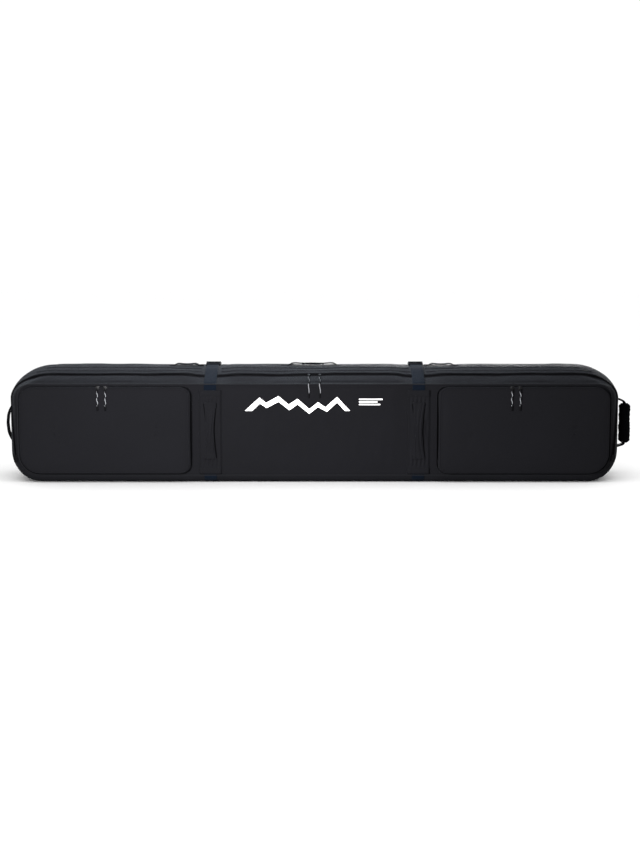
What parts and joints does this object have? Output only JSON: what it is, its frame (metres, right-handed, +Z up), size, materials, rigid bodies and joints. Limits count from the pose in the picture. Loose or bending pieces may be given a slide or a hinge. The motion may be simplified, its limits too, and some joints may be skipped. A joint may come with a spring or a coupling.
{
  "type": "snowboard bag",
  "caption": "Long padded wheeled bag for snowboards, with a fold-down zipped front, flat zipped pockets, compression straps with buckles, grab handles and a padded pull handle.",
  "frame": {"origin": "middle of the base the bag rests on, on the ground", "axes": "+X towards the padded pull handle, +Y towards the back, +Z up; the zipped front faces -Y"},
  "size_m": [1.7505, 0.2731, 0.322],
  "materials": {
    "shell_fabric": "matt coated weave",
    "strap_webbing": "woven webbing, slight sheen",
    "black_webbing": "woven webbing",
    "zip_coil": "moulded coil on woven tape",
    "slider_metal": "satin black paint",
    "pull_cord": "braided cord",
    "buckle_plastic": "satin moulding",
    "housing_plastic": "fine grained moulding",
    "tyre": "matt",
    "hub_plastic": "satin moulding",
    "axle_steel": "turned",
    "board_plastic": "matt sheet",
    "window_film": "clear film",
    "grip_fabric": "padded weave"
  },
  "bodies": {
    "tub": {"back_shell": "shell_fabric", "base_board": "board_plastic", "id_window_film": "window_film", "id_window_frame": "black_webbing", "left_buckle_socket": "buckle_plastic", "left_strap_back": "strap_webbing", "left_tie_buckle": "buckle_plastic", "left_tie_strap": "black_webbing", "right_buckle_socket": "buckle_plastic", "right_strap_back": "strap_webbing", "right_tie_buckle": "buckle_plastic", "right_tie_strap": "black_webbing", "skid_rail_lower": "housing_plastic", "skid_rail_upper": "housing_plastic", "wheel_axle_lower": "axle_steel", "wheel_axle_upper": "axle_steel", "wheel_housing_lower": "housing_plastic", "wheel_housing_upper": "housing_plastic", "zip_tape_back": "zip_coil"},
    "lid": {"front_lid": "shell_fabric", "zip_tape_front": "zip_coil", "left_strap_patch": "shell_fabric", "left_grab_sleeve": "shell_fabric", "left_strap_front": "strap_webbing", "left_pocket_gusset": "shell_fabric", "right_strap_patch": "shell_fabric", "right_grab_sleeve": "shell_fabric", "right_strap_front": "strap_webbing", "right_pocket_gusset": "shell_fabric"},
    "left_buckle": {"left_strap_tongue": "strap_webbing", "left_buckle_plug": "buckle_plastic"},
    "left_pocket": {"left_pocket_flap": "shell_fabric", "left_pocket_zip": "zip_coil"},
    "left_pocket_slider_left": {"left_pocket_slider_left": "slider_metal"},
    "left_pocket_pull_left": {"left_pocket_pull_left": "pull_cord"},
    "left_pocket_slider_right": {"left_pocket_slider_right": "slider_metal"},
    "left_pocket_pull_right": {"left_pocket_pull_right": "pull_cord"},
    "right_buckle": {"right_strap_tongue": "strap_webbing", "right_buckle_plug": "buckle_plastic"},
    "right_pocket": {"right_pocket_flap": "shell_fabric", "right_pocket_zip": "zip_coil"},
    "right_pocket_slider_left": {"right_pocket_slider_left": "slider_metal"},
    "right_pocket_pull_left": {"right_pocket_pull_left": "pull_cord"},
    "right_pocket_slider_right": {"right_pocket_slider_right": "slider_metal"},
    "right_pocket_pull_right": {"right_pocket_pull_right": "pull_cord"},
    "main_slider_left": {"main_slider_left": "slider_metal"},
    "main_pull_left": {"main_pull_left": "pull_cord"},
    "main_slider_right": {"main_slider_right": "slider_metal"},
    "main_pull_right": {"main_pull_right": "pull_cord"},
    "wheel_lower": {"wheel_tyre_lower": "tyre", "wheel_hub_lower": "hub_plastic"},
    "wheel_upper": {"wheel_tyre_upper": "tyre", "wheel_hub_upper": "hub_plastic"},
    "top_handle": {"top_handle": "black_webbing"},
    "left_top_loop": {"left_top_loop": "black_webbing"},
    "right_top_loop": {"right_top_loop": "black_webbing"},
    "left_end_handle": {"left_end_handle": "black_webbing"},
    "right_end_handle": {"right_end_webbing": "black_webbing", "right_end_grip": "grip_fabric"}
  },
  "joints": [
    {"name": "lid_open", "type": "hinge", "parent": "tub", "child": "lid", "pos_m": [0, -0.115, 0.02], "axis": [1, 0, 0], "range_deg": [0, 85]},
    {"name": "left_buckle_release", "type": "slide", "parent": "lid", "child": "left_buckle", "axis": [0, -0.8838, 0.4679], "range_m": [0, 0.024]},
    {"name": "left_pocket_open", "type": "hinge", "parent": "lid", "child": "left_pocket", "pos_m": [-0.571, -0.1224, 0.0255], "axis": [-1, 0, 0], "range_deg": [-55, 0]},
    {"name": "left_pocket_zip_left", "type": "slide", "parent": "left_pocket", "child": "left_pocket_slider_left", "axis": [1, 0, 0], "range_m": [-0.17, 0]},
    {"name": "left_pocket_pull_swing_left", "type": "hinge", "parent": "left_pocket_slider_left", "child": "left_pocket_pull_left", "pos_m": [-0.59, -0.1355, 0.2595], "axis": [-1, 0, 0], "range_deg": [0, 100]},
    {"name": "left_pocket_zip_right", "type": "slide", "parent": "left_pocket", "child": "left_pocket_slider_right", "axis": [1, 0, 0], "range_m": [0, 0.18]},
    {"name": "left_pocket_pull_swing_right", "type": "hinge", "parent": "left_pocket_slider_right", "child": "left_pocket_pull_right", "pos_m": [-0.569, -0.1355, 0.2595], "axis": [-1, 0, 0], "range_deg": [0, 100]},
    {"name": "right_buckle_release", "type": "slide", "parent": "lid", "child": "right_buckle", "axis": [0, -0.8838, 0.4679], "range_m": [0, 0.024]},
    {"name": "right_pocket_open", "type": "hinge", "parent": "lid", "child": "right_pocket", "pos_m": [0.571, -0.1224, 0.0255], "axis": [-1, 0, 0], "range_deg": [-55, 0]},
    {"name": "right_pocket_zip_left", "type": "slide", "parent": "right_pocket", "child": "right_pocket_slider_left", "axis": [1, 0, 0], "range_m": [-0.15, 0]},
    {"name": "right_pocket_pull_swing_left", "type": "hinge", "parent": "right_pocket_slider_left", "child": "right_pocket_pull_left", "pos_m": [0.538, -0.1355, 0.2595], "axis": [-1, 0, 0], "range_deg": [0, 100]},
    {"name": "right_pocket_zip_right", "type": "slide", "parent": "right_pocket", "child": "right_pocket_slider_right", "axis": [1, 0, 0], "range_m": [0, 0.19]},
    {"name": "right_pocket_pull_swing_right", "type": "hinge", "parent": "right_pocket_slider_right", "child": "right_pocket_pull_right", "pos_m": [0.56, -0.1355, 0.2595], "axis": [-1, 0, 0], "range_deg": [0, 100]},
    {"name": "main_zip_left", "type": "slide", "parent": "lid", "child": "main_slider_left", "axis": [1, 0, 0], "range_m": [-0.23, 0]},
    {"name": "main_pull_swing_left", "type": "hinge", "parent": "main_slider_left", "child": "main_pull_left", "pos_m": [-0.015, -0.0784, 0.2934], "axis": [-1, 0, 0], "range_deg": [0, 100]},
    {"name": "main_zip_right", "type": "slide", "parent": "lid", "child": "main_slider_right", "axis": [1, 0, 0], "range_m": [0, 0.23]},
    {"name": "main_pull_swing_right", "type": "hinge", "parent": "main_slider_right", "child": "main_pull_right", "pos_m": [0.015, -0.0784, 0.2934], "axis": [-1, 0, 0], "range_deg": [0, 100]},
    {"name": "wheel_spin_lower", "type": "hinge", "parent": "tub", "child": "wheel_lower", "pos_m": [-0.815, 0.098, 0.086], "axis": [0, 0, 1], "continuous": true},
    {"name": "wheel_spin_upper", "type": "hinge", "parent": "tub", "child": "wheel_upper", "pos_m": [-0.815, 0.098, 0.222], "axis": [0, 0, 1], "continuous": true},
    {"name": "top_handle_sway", "type": "hinge", "parent": "tub", "child": "top_handle", "pos_m": [-0.0045, 0.02, 0.311], "axis": [1, 0, 0], "range_deg": [-20, 20]},
    {"name": "left_top_loop_sway", "type": "hinge", "parent": "tub", "child": "left_top_loop", "pos_m": [-0.359, 0.02, 0.311], "axis": [1, 0, 0], "range_deg": [-20, 20]},
    {"name": "right_top_loop_sway", "type": "hinge", "parent": "tub", "child": "right_top_loop", "pos_m": [0.356, 0.02, 0.311], "axis": [1, 0, 0], "range_deg": [-20, 20]},
    {"name": "left_end_handle_sway", "type": "hinge", "parent": "tub", "child": "left_end_handle", "pos_m": [-0.845, 0, 0.1515], "axis": [0, 0, 1], "range_deg": [-20, 20]},
    {"name": "right_end_handle_sway", "type": "hinge", "parent": "tub", "child": "right_end_handle", "pos_m": [0.845, 0, 0.151], "axis": [0, 0, 1], "range_deg": [-25, 25]}
  ]
}
